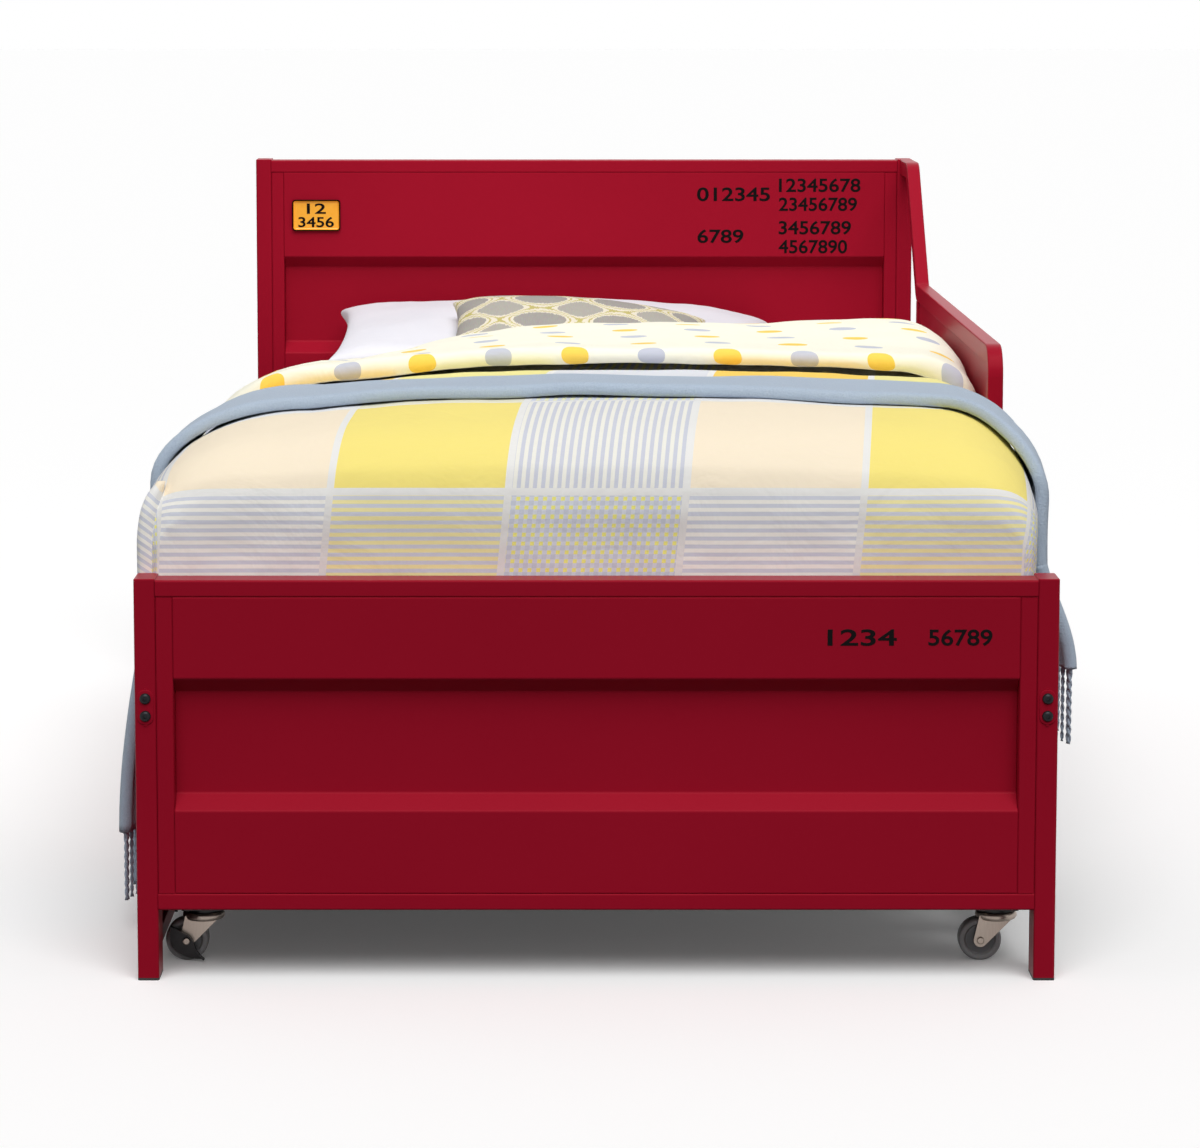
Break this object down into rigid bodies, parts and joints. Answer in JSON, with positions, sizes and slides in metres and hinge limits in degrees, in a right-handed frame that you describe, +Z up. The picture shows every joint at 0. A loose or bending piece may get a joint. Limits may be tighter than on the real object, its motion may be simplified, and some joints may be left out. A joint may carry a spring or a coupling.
{
  "type": "daybed with trundle",
  "caption": "Single steel daybed with pressed panel ends, a side guard and a rolling trundle bed under it, made up with bedding and a fringed throw.",
  "frame": {"origin": "on the floor at the middle of the bed", "axes": "+X across the bed towards the side guard, +Y along the bed from foot to head, +Z up"},
  "size_m": [1.16, 2.05, 0.868],
  "materials": {
    "red_steel": "gloss red powder coat",
    "black_bolt": "black oxide",
    "zinc": "nickel-plated stamped steel",
    "dark_plate": "black plated steel",
    "glide_black": "black moulded plastic",
    "wheel_grey": "grey thermoplastic rubber",
    "black_steel": "black satin powder coat",
    "mattress_ticking": "woven cotton ticking",
    "patchwork": "printed cotton patchwork",
    "white_cotton": "plain white cotton",
    "patterned_cotton": "woven traditional pattern",
    "blue_fleece": "light blue brushed wool with a twisted fringe"
  },
  "bodies": {
    "bed_frame": {"bolt_escutcheons": "red_steel", "cushion": "patterned_cotton", "daybed_slats": "black_steel", "duvet": "patchwork", "foot_post_left": "red_steel", "foot_post_right": "red_steel", "footboard_bottom_rail": "red_steel", "footboard_panel": "red_steel", "footboard_stiles": "red_steel", "footboard_top_rail": "red_steel", "guard_bar": "red_steel", "guard_bolts": "black_bolt", "guard_bottom_rail": "red_steel", "guard_panel": "red_steel", "guard_rear_upright": "red_steel", "head_post_left": "red_steel", "head_post_right": "red_steel", "headboard_bottom_rail": "red_steel", "headboard_panel": "red_steel", "headboard_stiles": "red_steel", "headboard_top_rail": "red_steel", "mattress": "mattress_ticking", "pillow": "white_cotton", "post_glides": "glide_black", "rail_bolts": "black_bolt", "rail_end_plates": "red_steel", "rail_nuts": "zinc", "side_rail_left": "red_steel", "side_rail_right": "red_steel", "slat_ledges": "black_steel", "slat_tie_bar": "black_steel", "throw": "blue_fleece", "throw_left_fall": "blue_fleece", "throw_right_fall": "blue_fleece"},
    "trundle": {"caster_plate_screws": "zinc", "caster_plates": "dark_plate", "trundle_deck_end_rails": "black_steel", "trundle_deck_front_rail": "black_steel", "trundle_deck_rear_rail": "black_steel", "trundle_panel_bottom_rail": "red_steel", "trundle_panel_screws": "black_bolt", "trundle_panel_sheet": "red_steel", "trundle_panel_stiles": "red_steel", "trundle_panel_straps": "black_steel", "trundle_panel_top_rail": "red_steel", "trundle_slats": "black_steel"},
    "foot_left_fork": {"caster_fork_foot_left": "zinc", "caster_axle_foot_left": "zinc"},
    "foot_left_wheel": {"caster_wheel_foot_left": "wheel_grey"},
    "foot_left_pedal": {"brake_pedal_foot_left": "dark_plate"},
    "foot_right_fork": {"caster_fork_foot_right": "zinc", "caster_axle_foot_right": "zinc"},
    "foot_right_wheel": {"caster_wheel_foot_right": "wheel_grey"},
    "head_left_fork": {"caster_fork_head_left": "zinc", "caster_axle_head_left": "zinc"},
    "head_left_wheel": {"caster_wheel_head_left": "wheel_grey"},
    "head_left_pedal": {"brake_pedal_head_left": "dark_plate"},
    "head_right_fork": {"caster_fork_head_right": "zinc", "caster_axle_head_right": "zinc"},
    "head_right_wheel": {"caster_wheel_head_right": "wheel_grey"}
  },
  "joints": [
    {"name": "trundle_slide", "type": "slide", "parent": "bed_frame", "child": "trundle", "axis": [-1, 0, 0], "range_m": [0, 1], "deforming": ["throw_left_fall"]},
    {"name": "foot_left_swivel", "type": "hinge", "parent": "trundle", "child": "foot_left_fork", "pos_m": [-0.4665, -0.912, 0.0255], "axis": [0, 0, 1], "continuous": true},
    {"name": "foot_left_roll", "type": "hinge", "parent": "foot_left_fork", "child": "foot_left_wheel", "pos_m": [-0.486, -0.912, 0.0255], "axis": [0, 1, 0], "continuous": true},
    {"name": "foot_left_brake", "type": "hinge", "parent": "foot_left_fork", "child": "foot_left_pedal", "pos_m": [-0.486, -0.912, 0.0255], "axis": [0, -1, 0], "range_deg": [0, 15]},
    {"name": "foot_right_swivel", "type": "hinge", "parent": "trundle", "child": "foot_right_fork", "pos_m": [0.4775, -0.912, 0.0255], "axis": [0, 0, 1], "continuous": true},
    {"name": "foot_right_roll", "type": "hinge", "parent": "foot_right_fork", "child": "foot_right_wheel", "pos_m": [0.458, -0.912, 0.0255], "axis": [0, 1, 0], "continuous": true},
    {"name": "head_left_swivel", "type": "hinge", "parent": "trundle", "child": "head_left_fork", "pos_m": [-0.4665, 0.912, 0.0255], "axis": [0, 0, 1], "continuous": true},
    {"name": "head_left_roll", "type": "hinge", "parent": "head_left_fork", "child": "head_left_wheel", "pos_m": [-0.486, 0.912, 0.0255], "axis": [0, 1, 0], "continuous": true},
    {"name": "head_left_brake", "type": "hinge", "parent": "head_left_fork", "child": "head_left_pedal", "pos_m": [-0.486, 0.912, 0.0255], "axis": [0, -1, 0], "range_deg": [0, 15]},
    {"name": "head_right_swivel", "type": "hinge", "parent": "trundle", "child": "head_right_fork", "pos_m": [0.4775, 0.912, 0.0255], "axis": [0, 0, 1], "continuous": true},
    {"name": "head_right_roll", "type": "hinge", "parent": "head_right_fork", "child": "head_right_wheel", "pos_m": [0.458, 0.912, 0.0255], "axis": [0, 1, 0], "continuous": true}
  ]
}
